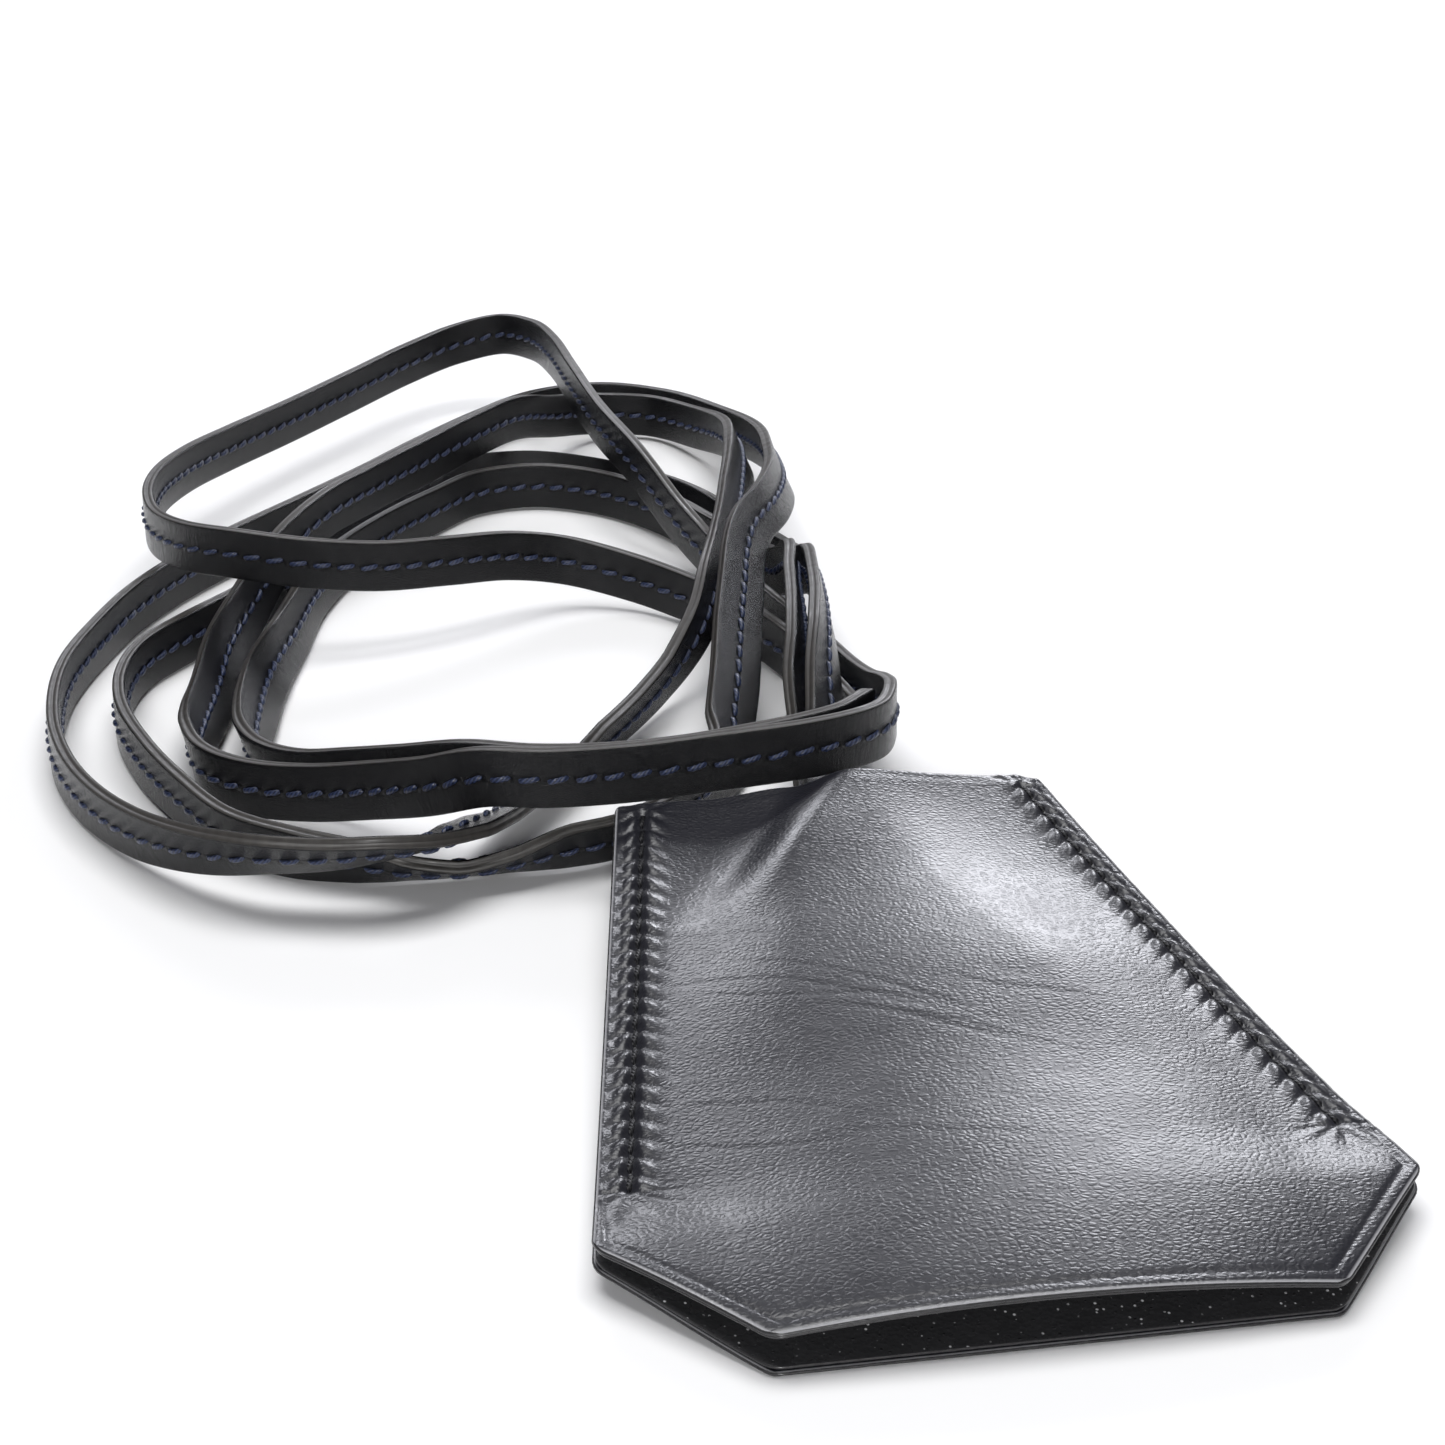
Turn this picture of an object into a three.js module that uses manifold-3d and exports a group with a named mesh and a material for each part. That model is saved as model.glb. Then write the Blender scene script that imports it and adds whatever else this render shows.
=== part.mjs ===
// A leather key bell on a neck strap, in millimetres, +Z up, lying on the plane z = 0.
// The bell points its mouth towards -Y and its narrow top towards +Y. Its mouth edge rests on the
// plane and its top is raised by the strap that comes out of it. The strap is one long flat strip
// of two leather layers, both ends of which run into the bell's top; it lies behind the bell in
// loose loops that stand on edge. Inside the bell the two strap ends are sewn to a leather key loop.
import * as THREE from 'three';
import { mergeVertices } from 'three/addons/utils/BufferGeometryUtils.js';
import Module from 'manifold-3d';

const wasm = await Module();
wasm.setup();

// ---- the bell, in its own plane: x across, y along, z through it ----
const TOP_Y = 84;            // the narrow top edge
const WIDE_Y = 0;            // the widest line
const MOUTH_Y = -16;         // the mouth edge
const TOP_HALF = 24.6;       // half widths at those three lines
const WIDE_HALF = 38;
const MOUTH_HALF = 25;
const LEATHER = 0.5;         // outer panel
const LINING = 0.33;         // inner lining
const GLUE = 0.12;           // between a panel and its lining
const SEAM_GAP = 0.2;        // between the two linings along a seam
const LINING_INSET = 0.25;   // the lining stops short of the panel's cut edge
const TILT = THREE.MathUtils.degToRad(4.5);
const BELL_SHIFT_Y = -34;    // brings the middle of the bell's footprint to the origin

// ---- the strap ----
const STRAP_WIDTH = 7;
const LAYER = 0.7;
const LAYER_GAP = 0.25;
const THREAD = { width: 0.44, height: 0.22, gap: 0.08 };
const STITCHED_FROM = 49;    // distance from each strap end at which the visible stitching starts

// ---- the seams ----
const STITCHES = 23;
const STITCH_PITCH = 3.2;
const SEAM_INSET = 3;        // from the sloping edge to the stitch holes
const SEAM_TOP_Y = 81.8;     // height of the highest hole
const HOLE = 0.9;
const SEAM_THREAD = 0.5;
const STITCH_CROWN = 0.1;
const RUNG = 0.42;           // the thread where it is drawn through its holes

// ---- the moving part inside ----
const TAB = { length: 16, width: 7.6, thickness: 2.4, y: 36 };
const LOOP = { length: 28, width: 8, thickness: 2.4, strip: 0.8 };
const SLIDE_RISE = THREE.MathUtils.degToRad(1.3);   // the way out climbs this much in the bell's plane

const leatherBlack = new THREE.MeshStandardMaterial({ color: 0x17171a, roughness: 0.42, metalness: 0 });
const liningBlack = new THREE.MeshStandardMaterial({ color: 0x111113, roughness: 0.35, metalness: 0 });
const threadBlack = new THREE.MeshStandardMaterial({ color: 0x14161c, roughness: 0.6, metalness: 0 });

const smooth = THREE.MathUtils.smoothstep;
const lerp = THREE.MathUtils.lerp;

const group = new THREE.Group();
const bell = new THREE.Group();
group.add(bell);

function addMesh(parent, name, geometry, material) {
  const mesh = new THREE.Mesh(geometry, material);
  mesh.name = name;
  parent.add(mesh);
  return mesh;
}

function bare(geometry) {
  const plain = geometry.clone();
  plain.deleteAttribute('normal');
  plain.deleteAttribute('uv');
  return mergeVertices(plain, 1e-4);
}

function solidOf(geometry) {
  const merged = bare(geometry);
  return new wasm.Manifold(new wasm.Mesh({
    numProp: 3,
    vertProperties: Float32Array.from(merged.attributes.position.array),
    triVerts: Uint32Array.from(merged.index.array),
  }));
}

function geometryOf(solid) {
  const mesh = solid.getMesh();
  const geometry = new THREE.BufferGeometry();
  geometry.setAttribute('position', new THREE.BufferAttribute(new Float32Array(mesh.vertProperties), 3));
  geometry.setIndex(Array.from(mesh.triVerts));
  return geometry;
}

// Mirrors a geometry in x. Two layers that lie on each other are built as mirror images, so that the
// facets of the faces that meet run along the same diagonals and keep their gap.
function mirrored(geometry) {
  const corners = geometry.index
    ? Array.from(geometry.index.array)
    : Array.from({ length: geometry.attributes.position.count }, (_, i) => i);
  geometry.scale(-1, 1, 1);
  geometry.setIndex(corners.reverse());
  return geometry;
}

// ---- the bell's outline and the space inside it ----

function halfWidth(y) {
  return y > WIDE_Y
    ? lerp(WIDE_HALF, TOP_HALF, (y - WIDE_Y) / (TOP_Y - WIDE_Y))
    : lerp(MOUTH_HALF, WIDE_HALF, (y - MOUTH_Y) / (WIDE_Y - MOUTH_Y));
}

// 1 over the swelling round the strap and key loop, 0 at the sewn sides.
function swelling(x, y) {
  const down = (TOP_Y - y) / (TOP_Y - MOUTH_Y);
  const plateau = lerp(4.6, 13, smooth(down, 0, 0.6));
  const foot = lerp(14.5, halfWidth(y) - SEAM_INSET, smooth(down, 0, 0.35));
  return 1 - smooth(Math.abs(x), plateau, foot);
}

// The sides curl up a little at the widest corners.
function curl(x, y) {
  return 0.8 * smooth(Math.abs(x), 26, WIDE_HALF) * (1 - smooth(y, 8, 40));
}

// Inner face of each lining, measured from the plane of the seams.
function frontInner(x, y) {
  const edge = SEAM_GAP / 2 + 2.1 * smooth(-y, -10, 16);
  const crown = y > 40 ? lerp(2.5, 1.75, (y - 40) / (TOP_Y - 40)) : lerp(4.5, 2.5, smooth(y, MOUTH_Y, 40));
  return curl(x, y) + edge + (crown - edge) * swelling(x, y);
}

function backInner(x, y) {
  const sag = 2.2 * smooth(y, 2, 50);
  return curl(x, y) - SEAM_GAP / 2 - sag * swelling(x, y);
}

// One sheet of the bell: a slab whose grid follows the outline, between two offsets from an inner face.
const ROWS = [MOUTH_Y, -8, WIDE_Y, 10, 24, 38, 52, 66, 76, TOP_Y];
const COLUMNS = [-1, -0.8, -0.55, -0.36, -0.19, 0, 0.19, 0.36, 0.55, 0.8, 1];

function sheet(inner, side, near, far, inset) {
  const box = new THREE.BoxGeometry(1, 1, 1, COLUMNS.length - 1, ROWS.length - 1, 1);
  const p = box.attributes.position;
  for (let i = 0; i < p.count; i += 1) {
    const column = COLUMNS[Math.round((p.getX(i) + 0.5) * (COLUMNS.length - 1))];
    const row = ROWS[Math.round((p.getY(i) + 0.5) * (ROWS.length - 1))];
    const y = THREE.MathUtils.clamp(row, MOUTH_Y + inset, TOP_Y - inset);
    const x = Math.abs(column) === 1 ? column * (halfWidth(y) - inset) : column * halfWidth(y);
    const outward = (p.getZ(i) > 0) === (side > 0);
    p.setXYZ(i, x, y, inner(x, y) + side * (outward ? far : near));
  }
  return box;
}

// ---- seams: holes through all four sheets, and one thread ladder through each row of holes ----

const SEAM_SLOPE = Math.atan2(WIDE_HALF - TOP_HALF, TOP_Y - WIDE_Y);
const PANEL = LINING + GLUE + LEATHER;
const OUTSIDE = 0.26;        // from the leather's face to the stitch that lies on it

function seamPoint(side, n) {
  const y = SEAM_TOP_Y - n * STITCH_PITCH * Math.cos(SEAM_SLOPE);
  const x = side * (halfWidth(y) - SEAM_INSET / Math.cos(SEAM_SLOPE));
  return new THREE.Vector2(x, y);
}

function seamHoles(side) {
  let holes = null;
  for (let n = 0; n <= STITCHES; n += 1) {
    const at = seamPoint(side, n);
    const punch = new THREE.BoxGeometry(HOLE, HOLE, 20).rotateZ(side * SEAM_SLOPE).translate(at.x, at.y, 0);
    const hole = solidOf(punch);
    holes = holes ? holes.add(hole) : hole;
  }
  return holes;
}

// The thread is a ladder: a stile of stitches on each face of the bell and a rung through each hole.
// It is joined lying straight, and then turned to lie along the seam.
function seamThread(side) {
  const middle = (inner, sign, n) => {
    const at = seamPoint(side, n);
    return inner(at.x, at.y) + sign * (PANEL + OUTSIDE + SEAM_THREAD / 2);
  };
  // A stitch stands a little prouder in its middle than where it dips into its holes.
  const stile = (inner, sign) => {
    const bar = new THREE.BoxGeometry(SEAM_THREAD, 1, SEAM_THREAD, 1, 2 * STITCHES, 1);
    const p = bar.attributes.position;
    for (let i = 0; i < p.count; i += 1) {
      const k = Math.round((0.5 - p.getY(i)) * 2 * STITCHES);
      const n = Math.floor(k / 2);
      const dip = middle(inner, sign, n);
      const z = k % 2 ? (dip + middle(inner, sign, n + 1)) / 2 + sign * STITCH_CROWN : dip;
      const past = k === 0 ? SEAM_THREAD / 2 : k === 2 * STITCHES ? -SEAM_THREAD / 2 : 0;
      p.setXYZ(i, p.getX(i), past - (k / 2) * STITCH_PITCH, p.getZ(i) + z);
    }
    return solidOf(bar);
  };
  let thread = stile(frontInner, 1).add(stile(backInner, -1));
  for (let n = 0; n <= STITCHES; n += 1) {
    const low = middle(backInner, -1, n);
    const high = middle(frontInner, 1, n);
    const rung = new THREE.BoxGeometry(RUNG, RUNG, high - low);
    thread = thread.add(solidOf(rung.translate(0, -n * STITCH_PITCH, (high + low) / 2)));
  }
  const first = seamPoint(side, 0);
  return geometryOf(thread).rotateZ(side * SEAM_SLOPE).translate(first.x, first.y, 0);
}

const holes = seamHoles(-1).add(seamHoles(1));
const pierced = (geometry) => geometryOf(solidOf(geometry).subtract(holes));

addMesh(bell, 'front_panel', pierced(mirrored(sheet(frontInner, 1, LINING + GLUE, PANEL, 0))), leatherBlack);
addMesh(bell, 'front_lining', pierced(sheet(frontInner, 1, 0, LINING, LINING_INSET)), liningBlack);
addMesh(bell, 'back_panel', pierced(mirrored(sheet(backInner, -1, LINING + GLUE, PANEL, 0))), leatherBlack);
addMesh(bell, 'back_lining', pierced(sheet(backInner, -1, 0, LINING, LINING_INSET)), liningBlack);
addMesh(bell, 'left_seam_thread', seamThread(-1), threadBlack);
addMesh(bell, 'right_seam_thread', seamThread(1), threadBlack);

// ---- the part that slides out of the mouth: sewn strap ends, key loop, and the thread round them ----

const slider = new THREE.Group();
slider.position.set(0, TAB.y, 0.6);
slider.rotation.x = -SLIDE_RISE;
bell.add(slider);

function slab(width, length, thickness, y) {
  return solidOf(new THREE.BoxGeometry(width, length, thickness).translate(0, y, 0));
}

// The key loop hangs below the tab: a strip bent double, closed at its lower end and open inside.
function keyLoop() {
  const half = TAB.length / 2;
  const outline = new THREE.Shape();
  const r = LOOP.thickness / 2;
  const ri = r - LOOP.strip;
  outline.moveTo(-r, 0);
  outline.lineTo(-r, -(LOOP.length - r));
  outline.absarc(0, -(LOOP.length - r), r, Math.PI, 2 * Math.PI, false);
  outline.lineTo(r, 0);
  outline.lineTo(-r, 0);
  const inside = new THREE.Path();
  inside.moveTo(-ri, -3);
  inside.lineTo(ri, -3);
  inside.lineTo(ri, -(LOOP.length - r));
  inside.absarc(0, -(LOOP.length - r), ri, 0, Math.PI, true);
  inside.lineTo(-ri, -3);
  outline.holes.push(inside);
  const strip = new THREE.ExtrudeGeometry(outline, { depth: LOOP.width, bevelEnabled: false, curveSegments: 6 });
  strip.translate(0, 0, -LOOP.width / 2);
  strip.rotateY(Math.PI / 2);
  strip.translate(0, -half - 0.3, 0);
  return strip;
}

// The thread wraps round the tab's groove in one band.
function wrapped() {
  const band = { width: TAB.width + 0.5, length: 1.1, thickness: TAB.thickness + 0.36 };
  const outer = slab(band.width, band.length, band.thickness, -4);
  return outer.subtract(slab(TAB.width - 0.8, 3, TAB.thickness - 0.8, -4));
}
function grooved() {
  const collar = slab(TAB.width + 2, 1.7, TAB.thickness + 2, -4)
    .subtract(slab(TAB.width - 1.4, 3, TAB.thickness - 1.4, -4));
  return slab(TAB.width, TAB.length, TAB.thickness, 0).subtract(collar);
}

addMesh(slider, 'strap_ends', geometryOf(grooved()), leatherBlack);
addMesh(slider, 'key_loop', keyLoop(), leatherBlack);
addMesh(slider, 'end_thread', geometryOf(wrapped()), threadBlack);

// The bell is tilted about its mouth edge, which lies on the plane.
const BACK_FACE = SEAM_GAP / 2 + PANEL;
bell.rotation.x = TILT;
bell.position.set(0, MOUTH_Y + BELL_SHIFT_Y, 0);
for (const child of bell.children) {
  child.position.add(new THREE.Vector3(0, -MOUTH_Y, BACK_FACE));
}

// ---- the strap ----
// Points along the middle of the strap: x, y, z, and the lean of its width from upright, in degrees
// towards the left of the way it runs. 0 stands on edge; 90 and -90 lie flat. It leaves the bell's
// top, goes up the right side, makes its loops, and comes back into the bell.
const ROUTE = [
  [0, 12, 7, 90], [1, 32, 8.4, 90], [1.5, 46, 9.35, 90], [1.5, 50.4, 9.6, 90], [1.5, 54.5, 7.9, 88],
  [2.3, 59.5, 6.6, 78], [3.8, 67, 6.3, 60], [5, 75, 7.3, 45], [6.2, 84, 10.5, 32], [7.9, 93, 12.6, 22],
  [9.8, 104, 12.9, 15], [11.4, 116, 12.4, 10], [12.9, 128, 10.4, 5], [13.4, 140, 6.4, 0],
  [12.4, 153, 4.4, 0], [9, 165, 4, 0], [5, 178, 4, -10], [-1, 189, 4, -20], [-9, 198, 4, -30],
  [-18, 204.5, 3.8, -35], [-27, 204, 3.8, -35], [-36, 195, 3.9, -30], [-43.5, 183, 3.9, -20],
  [-51, 169, 3.9, -10], [-58.5, 156, 3.9, -5], [-66, 144.5, 3.9, 0], [-73, 135, 3.9, 0],
  [-78.5, 126, 3.9, 0], [-81, 116, 3.9, 0], [-81, 104, 3.9, 0], [-78, 90, 3.9, 0], [-73, 76, 3.9, -5],
  [-67.5, 65, 3.8, -10], [-61, 59, 3.8, -15], [-54, 55.5, 3.6, -30], [-48, 54, 2.85, -54],
  [-42, 53.5, 2.45, -64], [-36, 53.8, 2.95, -54], [-30, 54.8, 3.6, -32], [-24, 56.5, 3.6, -28],
  [-17, 61.5, 3.6, -15], [-11, 69, 3.9, 5], [-7, 78, 4, 30], [-5.5, 86, 4.8, 50], [-3.3, 95, 7.2, 55],
  [-1, 106, 10, 56], [1.6, 118, 12.4, 52], [3.3, 126, 14, 47], [5.7, 133.5, 15.3, 43],
  [10, 142.5, 15.6, 38], [13.8, 156, 14.6, 30], [16, 172, 12.8, 20], [18, 196, 8.8, 8],
  [16.5, 219, 5, 0], [9, 237, 3.9, 0], [-1.5, 244, 3.9, 0], [-13, 241.5, 3.9, 0], [-24, 230.5, 3.9, 0],
  [-35, 216, 3.9, 0], [-46, 200, 3.9, 0], [-56, 186.5, 3.9, 0], [-65.5, 174, 3.9, 0],
  [-73, 163, 3.9, 0], [-80, 149.5, 3.9, 0], [-85, 135, 3.9, 0], [-88.5, 121, 3.9, 0],
  [-89.5, 107, 3.9, 0], [-88.5, 93, 3.9, 0], [-85, 79.5, 3.9, -5], [-79, 66.5, 4.6, -12],
  [-72, 56.5, 6.2, -25], [-65, 50.5, 7.6, -38], [-58, 48, 8, -46], [-51.5, 47, 8.5, -54],
  [-46, 48.5, 8.1, -64], [-41.5, 53, 7.4, -78], [-38, 59.5, 5.8, -76], [-34.5, 67, 3.8, -62],
  [-29, 75.5, 3.6, -45], [-23, 84, 3.9, -25], [-17, 93.5, 4.2, -20], [-11, 103, 5.5, -12],
  [-5.5, 112, 8.5, 5], [-1.5, 122, 11.5, 22], [3, 136, 12.6, 38], [7.5, 156, 12.8, 38],
  [11.5, 178, 12.3, 28], [13.5, 200, 9, 12], [11.5, 219, 5.5, 0], [5, 233, 4.2, 0], [-4, 233, 5, 0],
  [-12, 224, 7.5, 0], [-20, 210, 11.4, 0], [-28, 197, 12.4, 0], [-36.5, 185, 12.3, 0],
  [-45, 172.5, 12.4, 0], [-53, 160, 12.3, 0], [-59.8, 148.5, 9.9, -8], [-64, 140, 6.4, -25],
  [-67.6, 127.5, 4.5, -40], [-69.5, 114, 3.2, -46], [-71, 104, 3.5, -36], [-72, 94, 3.95, -15],
  [-70.5, 85, 4, 0], [-65.5, 78.5, 4.2, 3], [-58.5, 73, 5.2, 3], [-51.5, 67, 7.4, 0],
  [-45, 59.5, 10.5, 0], [-39, 54.5, 13.2, 0], [-32, 52.5, 13.3, 0], [-22, 53, 13, 0],
  [-12, 53.7, 13.3, 0], [-2, 54.9, 13.5, 0], [4.5, 57.5, 13.3, 0], [8.6, 61.5, 12.8, 0],
  [11.2, 68.5, 12.2, 0], [12.5, 78, 9.6, 0], [13, 88, 6.4, 0], [12.8, 99, 4.2, 0], [11.3, 111, 3.7, 0],
  [8.8, 123, 3.7, 0], [5.9, 137, 3.9, 0], [3.5, 152, 4.4, 0], [0, 165, 7, 0], [-4, 179, 11.5, 0],
  [-7.5, 196, 13.6, 0], [-9.5, 216, 15.1, 0], [-10.5, 235, 15.1, 0], [-12.5, 251, 14, 0],
  [-17.5, 260, 13, 0], [-25, 260.5, 11.5, 0], [-34, 253.5, 10.3, 0], [-45, 239.5, 9.5, 0],
  [-56, 223.5, 9.3, 0], [-65.5, 207.5, 10, 0], [-72.2, 192, 11.4, 0], [-76.3, 177, 12.6, 0],
  [-77.5, 165, 13, 0], [-76.3, 155, 13, 0], [-72, 145, 13.9, 0], [-65, 138.8, 14.3, 0],
  [-56, 135.8, 13.4, 0], [-46, 136.5, 12, 0], [-36, 140, 11, 0], [-27, 145, 9.5, 0],
  [-18.5, 148, 7.2, 0], [-10, 145, 5.2, 0], [-3, 137.5, 4.2, 0], [2.5, 127.5, 3.9, 0],
  [6.3, 116, 3.8, 0], [8.6, 104, 3.8, 0], [9.9, 93, 3.7, 0], [10.4, 84, 4.6, 0], [9.8, 74.5, 8.8, 0],
  [7.1, 65.8, 12.3, 0], [3.5, 61.6, 12.6, 0], [-1.5, 59.4, 12.5, 0], [-8, 58, 12.2, 0],
  [-16, 57, 11.8, 0], [-25, 57, 11.6, 0], [-33, 58.5, 11.5, 0], [-40, 62, 11.2, 0], [-47, 68, 8.8, 0],
  [-53.5, 74.5, 6.3, 0], [-59, 79.5, 4.6, 0], [-63.2, 85, 4, 5], [-65, 93.5, 3.7, 20],
  [-64.3, 105, 3.4, 38], [-62.3, 120, 3.25, 44], [-58.6, 135, 3.6, 26], [-55, 150, 3.9, 14],
  [-50, 163.5, 3.9, 8], [-42.8, 176, 3.9, 5], [-34.8, 186.8, 3.9, 0], [-27.5, 195, 3.9, 0],
  [-18.5, 197, 3.9, 0], [-10, 192.5, 3.9, 0], [-3.5, 184.5, 3.9, 0], [1.5, 174.5, 3.9, 0],
  [5.2, 163.5, 4, 0], [8.8, 152, 4.4, 0], [10.3, 139, 6.6, 0], [10.1, 126.8, 11.7, -5],
  [8.3, 115.5, 12.4, -10], [6.6, 103.5, 12.6, -15], [4.9, 92.5, 11.4, -22], [3.3, 83.5, 8.8, -32],
  [2.9, 74.5, 4.8, -45], [2.2, 66.5, 3.8, -60], [1.7, 59, 3.5, -78], [1.5, 54.5, 5, -88],
  [1.5, 50.4, 7.5, -90], [1.5, 46, 7.3, -90], [1, 32, 6.3, -90], [0, 12, 4.8, -90],];

// A smooth curve through the points, with stations closer together where it bends, and with the
// strap's own lean in place of the usual frames.
class StrapCurve extends THREE.CatmullRomCurve3 {
  constructor(route, from = 0, to = 1) {
    super(route.map(([x, y, z]) => new THREE.Vector3(x, y, z)), false, 'centripetal');
    this.leans = route.map((r) => r[3]);
    this.from = from;
    this.to = to;
  }

  leanAt(t) {
    const f = t * (this.leans.length - 1);
    const i = Math.min(Math.floor(f), this.leans.length - 2);
    return THREE.MathUtils.degToRad(lerp(this.leans[i], this.leans[i + 1], f - i));
  }

  frameAt(t) {
    const tangent = this.getTangent(t);
    const left = new THREE.Vector3(-tangent.y, tangent.x, 0).normalize();
    const up = new THREE.Vector3().crossVectors(tangent, left).normalize();
    const lean = this.leanAt(t);
    const across = up.multiplyScalar(Math.cos(lean)).addScaledVector(left, Math.sin(lean));
    return { tangent, across, out: new THREE.Vector3().crossVectors(tangent, across).normalize() };
  }

  // A new station wherever the strap has turned, twisted or run on enough since the last one.
  stations() {
    if (this.kept) return this.kept;
    const steps = 12 * (this.points.length - 1);
    const turn = Math.cos(THREE.MathUtils.degToRad(11));
    const twist = Math.cos(THREE.MathUtils.degToRad(15));
    const reach = 16;
    const kept = [0];
    let last = { ...this.frameAt(0), point: this.getPoint(0) };
    for (let i = 1; i <= steps; i += 1) {
      const here = { ...this.frameAt(i / steps), point: this.getPoint(i / steps) };
      const bent = here.tangent.dot(last.tangent) < turn || here.across.dot(last.across) < twist;
      if (bent || here.point.distanceTo(last.point) > reach || i === steps) {
        kept.push(i / steps);
        last = here;
      }
    }
    this.kept = kept.filter((t) => t >= this.from && t <= this.to);
    return this.kept;
  }

  getSpacedPoints() {
    return this.stations().map((t) => this.getPoint(t));
  }

  computeFrenetFrames() {
    const frames = this.stations().map((t) => this.frameAt(t));
    return {
      tangents: frames.map((f) => f.tangent),
      normals: frames.map((f) => f.across),
      binormals: frames.map((f) => f.out),
    };
  }
}

function sweep(curve, section) {
  return new THREE.ExtrudeGeometry(section, {
    steps: curve.stations().length - 1, extrudePath: curve, bevelEnabled: false,
  });
}

// A layer's section, with a corner on its middle line, where the stitching runs.
function layerSection(width, low, high) {
  const section = new THREE.Shape();
  section.moveTo(-width / 2, low);
  section.lineTo(0, low);
  section.lineTo(width / 2, low);
  section.lineTo(width / 2, high);
  section.lineTo(0, high);
  section.lineTo(-width / 2, high);
  section.closePath();
  return section;
}

function threadSection(width, low, height) {
  const section = new THREE.Shape();
  section.moveTo(-width / 2, low);
  section.lineTo(width / 2, low);
  section.lineTo(0, low + height);
  section.closePath();
  return section;
}

// Where along the route, from 0 to 1, the strap has run a given distance from its start.
function reached(curve, distance) {
  const steps = 2000;
  let run = 0;
  let before = curve.getPoint(0);
  for (let i = 1; i <= steps; i += 1) {
    const point = curve.getPoint(i / steps);
    run += point.distanceTo(before);
    if (run >= distance) return i / steps;
    before = point;
  }
  return 1;
}

const FACE = LAYER_GAP / 2 + LAYER;
const layer = layerSection(STRAP_WIDTH, LAYER_GAP / 2, FACE);
const stitching = threadSection(THREAD.width, FACE + THREAD.gap, THREAD.height);
const whole = new StrapCurve(ROUTE);
const start = reached(whole, STITCHED_FROM);
const end = 1 - reached(new StrapCurve([...ROUTE].reverse()), STITCHED_FROM);
const mirrorRoute = ROUTE.map(([x, y, z, lean]) => [-x, y, z, -lean]);

addMesh(group, 'strap_outer_layer', sweep(whole, layer), leatherBlack);
addMesh(group, 'strap_inner_layer', mirrored(sweep(new StrapCurve(mirrorRoute), layer)), leatherBlack);
addMesh(group, 'strap_thread_outer', sweep(new StrapCurve(ROUTE, start, end), stitching), threadBlack);
addMesh(group, 'strap_thread_inner', mirrored(sweep(new StrapCurve(mirrorRoute, start, end), stitching)), threadBlack);

export default group;
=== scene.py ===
"""Looks of a leather key bell and its neck strap.

Everything ends in metres in the shared frame: the bell's mouth points towards -Y, +Z is up, and the
bell and its strap lie on z = 0. The bell's sheets are made in millimetres in the bell's own plane
(x across, y along, z through it), and set_down puts them in the frame.
"""

import math

import bpy
import numpy as np
from mathutils import Matrix, Vector, noise


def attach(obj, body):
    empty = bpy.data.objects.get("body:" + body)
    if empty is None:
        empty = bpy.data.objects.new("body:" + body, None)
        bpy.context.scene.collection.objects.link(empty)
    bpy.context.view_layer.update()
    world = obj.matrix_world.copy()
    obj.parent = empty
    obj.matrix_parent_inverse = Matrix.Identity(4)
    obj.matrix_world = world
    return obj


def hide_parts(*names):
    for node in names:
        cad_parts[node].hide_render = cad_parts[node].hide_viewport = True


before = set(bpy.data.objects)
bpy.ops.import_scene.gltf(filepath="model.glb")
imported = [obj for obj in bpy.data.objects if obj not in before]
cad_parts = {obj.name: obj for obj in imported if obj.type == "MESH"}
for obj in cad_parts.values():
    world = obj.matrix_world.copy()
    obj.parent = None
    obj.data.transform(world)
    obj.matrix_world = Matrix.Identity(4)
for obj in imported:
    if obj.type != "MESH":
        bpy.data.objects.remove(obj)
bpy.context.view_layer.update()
MM = 0.001

# ---------------------------------------------------------------- camera
CAMERA_AT = Vector((-0.06255, -0.26021, 0.14280))
LOOK_AT = Vector((-0.0043, 0.0989, 0.0))
CAMERA_ROLL = math.radians(-0.77)
LENS = 74.74                       # on a sensor 36 mm wide


def make_camera():
    data = bpy.data.cameras.new("camera")
    data.lens, data.sensor_width = LENS, 36.0
    back = (CAMERA_AT - LOOK_AT).normalized()
    right = Vector((0, 0, 1)).cross(back).normalized()
    up = back.cross(right)
    c, s = math.cos(CAMERA_ROLL), math.sin(CAMERA_ROLL)
    x, y = right * c + up * s, up * c - right * s
    camera = bpy.data.objects.new("camera", data)
    turn = Matrix((x, y, back)).transposed().to_4x4()
    camera.matrix_world = Matrix.Translation(CAMERA_AT) @ turn
    bpy.context.scene.collection.objects.link(camera)
    bpy.context.scene.camera = camera


make_camera()

# ---------------------------------------------------------------- the strap's route
STRAP_WIDTH = 7.0
STRAP_THICK = 1.65
STITCHED_FROM = 49.0               # mm from each end of the strap, inside the bell
STRAP_PITCH = 3.2
STRAP_STITCH = 2.5
STRAP_STEP = 1.2                   # between the rings of points along the strap
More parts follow.
